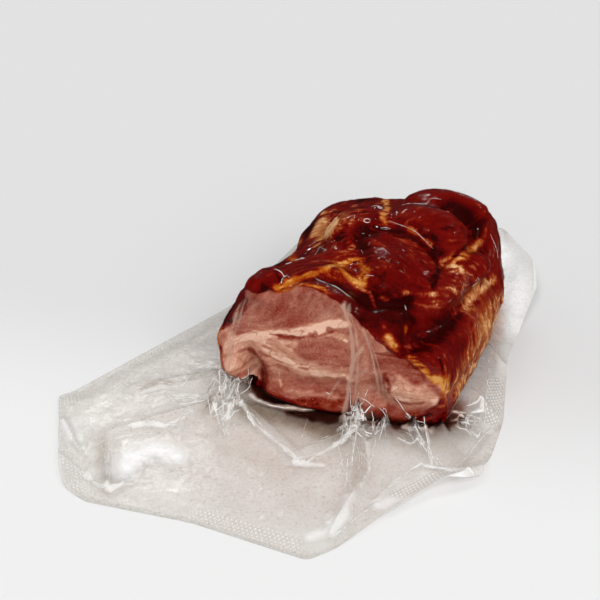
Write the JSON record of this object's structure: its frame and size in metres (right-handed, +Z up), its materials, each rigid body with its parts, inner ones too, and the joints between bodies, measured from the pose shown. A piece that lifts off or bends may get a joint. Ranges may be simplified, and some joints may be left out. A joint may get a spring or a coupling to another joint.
{
  "type": "block of smoked bacon in a vacuum bag",
  "caption": "Block of smoked bacon, cut straight across at one end and folded and crusted on top, sealed in a clear vacuum bag whose spare film lies flat around it.",
  "frame": {"origin": "middle of the bounding box, on the underside of the bag", "axes": "+X to the right across the cut face, +Y from the cut face towards the back of the block, +Z up"},
  "size_m": [0.1878, 0.2736, 0.0697],
  "materials": {
    "cured_meat": "dark red-brown smoked crust with yellow fat, pink lean and pale fat at the cut, wet and glossy",
    "clear_film": "clear glossy plastic film, wrinkled, faintly milky where two layers meet, with embossed seams"
  },
  "bodies": {
    "root": {"bacon": "cured_meat", "vacuum_bag": "clear_film"}
  },
  "joints": []
}
